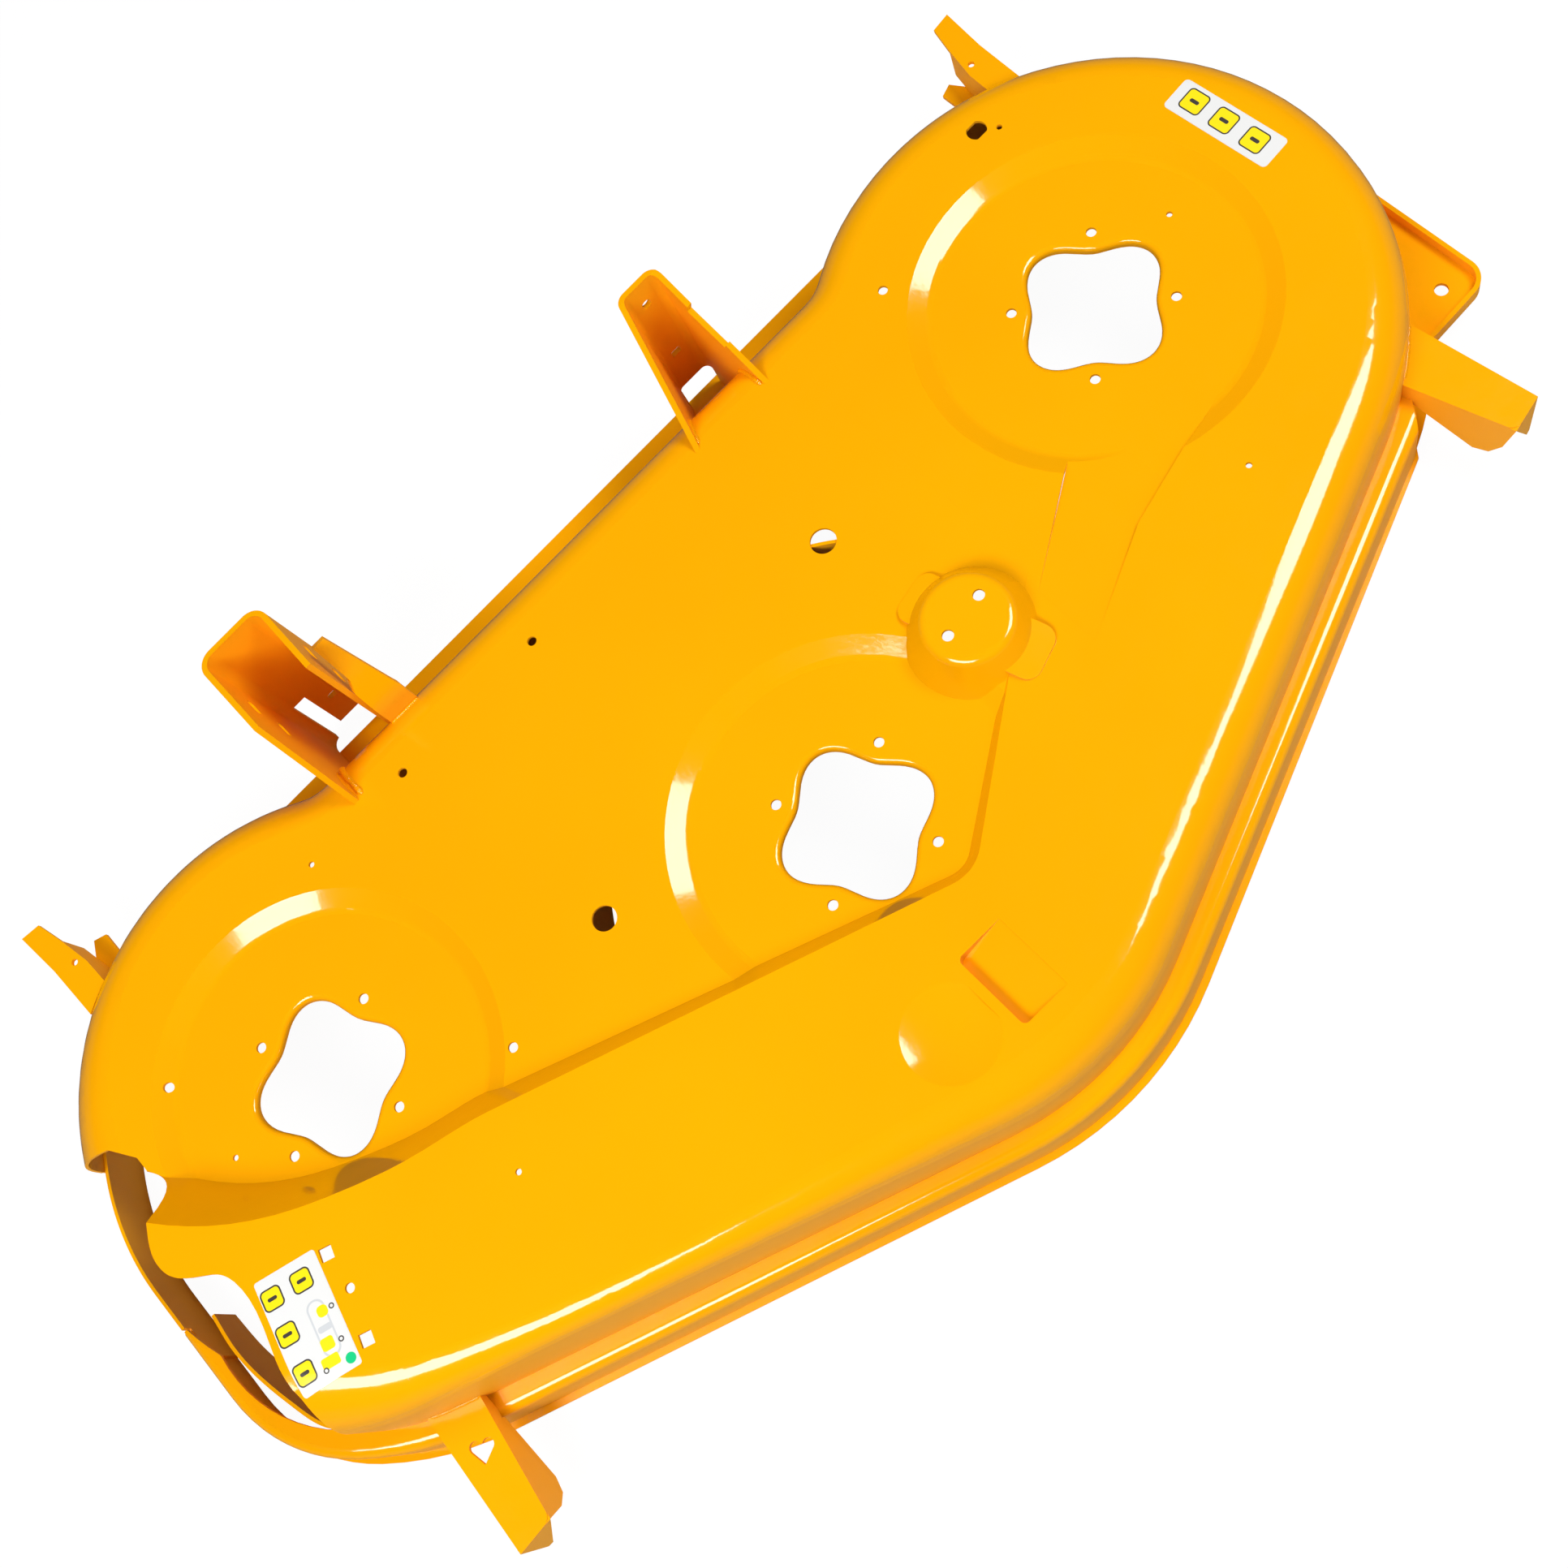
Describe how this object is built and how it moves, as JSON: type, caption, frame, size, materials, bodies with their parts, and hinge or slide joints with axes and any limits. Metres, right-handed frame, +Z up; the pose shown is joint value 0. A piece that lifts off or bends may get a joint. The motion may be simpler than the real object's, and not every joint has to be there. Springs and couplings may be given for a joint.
{
  "type": "lawn mower deck",
  "caption": "Welded steel mower deck with round blade lobes, a ramped front tunnel, an open side discharge, and hanger and roller brackets.",
  "frame": {"origin": "centre of the middle spindle's bolt circle, on its mounting surface", "axes": "+X to the mower's left, +Y to its rear, +Z up"},
  "size_m": [1.433, 0.7775, 0.244],
  "materials": {
    "deck_paint": "gloss"
  },
  "bodies": {
    "root": {"deck_shell": "deck_paint", "discharge_band": "deck_paint", "front_baffle": "deck_paint", "rear_baffle": "deck_paint", "left_rear_hanger": "deck_paint", "right_rear_hanger": "deck_paint", "rear_hook_strip": "deck_paint", "left_front_roller_bracket": "deck_paint", "right_front_roller_bracket": "deck_paint", "left_rear_wheel_bracket": "deck_paint", "right_rear_wheel_bracket": "deck_paint", "left_side_plate": "deck_paint"}
  },
  "joints": []
}
